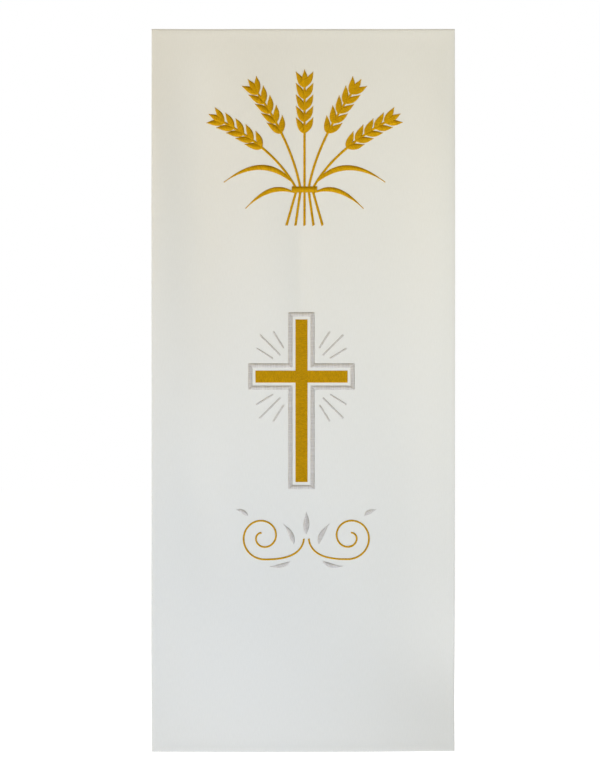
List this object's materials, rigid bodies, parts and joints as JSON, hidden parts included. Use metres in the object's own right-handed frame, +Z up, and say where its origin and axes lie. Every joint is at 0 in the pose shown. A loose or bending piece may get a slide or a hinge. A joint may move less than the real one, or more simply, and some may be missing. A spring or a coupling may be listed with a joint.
{
  "type": "ambo cloth",
  "caption": "Long white ambo cloth hung in soft folds, with narrow hems and raised gold and silver embroidery of wheat, a cross and scrolls, to dress the front of a reading desk.",
  "frame": {"origin": "middle of the cloth's top edge", "axes": "+Z up along the drop, +X to the right seen from the front, and the embroidered front looks along -Y"},
  "size_m": [0.503, 0.0238, 1.2],
  "materials": {
    "white_cloth": "matt fine weave",
    "gold_thread": "glossy satin stitch",
    "silver_thread": "glossy satin stitch"
  },
  "bodies": {
    "root": {"cloth_panel": "white_cloth", "wheat_sheaf": "gold_thread", "cross_gold": "gold_thread", "scroll_left": "gold_thread", "scroll_right": "gold_thread", "cross_outline": "silver_thread", "bud": "silver_thread", "ray_a1": "silver_thread", "ray_a2": "silver_thread", "ray_a3": "silver_thread", "ray_b1": "silver_thread", "ray_b2": "silver_thread", "ray_b3": "silver_thread", "ray_c1": "silver_thread", "ray_c2": "silver_thread", "ray_c3": "silver_thread", "ray_d1": "silver_thread", "ray_d2": "silver_thread", "ray_d3": "silver_thread", "leaf_left_1": "silver_thread", "leaf_left_2": "silver_thread", "leaf_left_3": "silver_thread", "leaf_right_1": "silver_thread", "leaf_right_2": "silver_thread", "leaf_right_3": "silver_thread"}
  },
  "joints": []
}
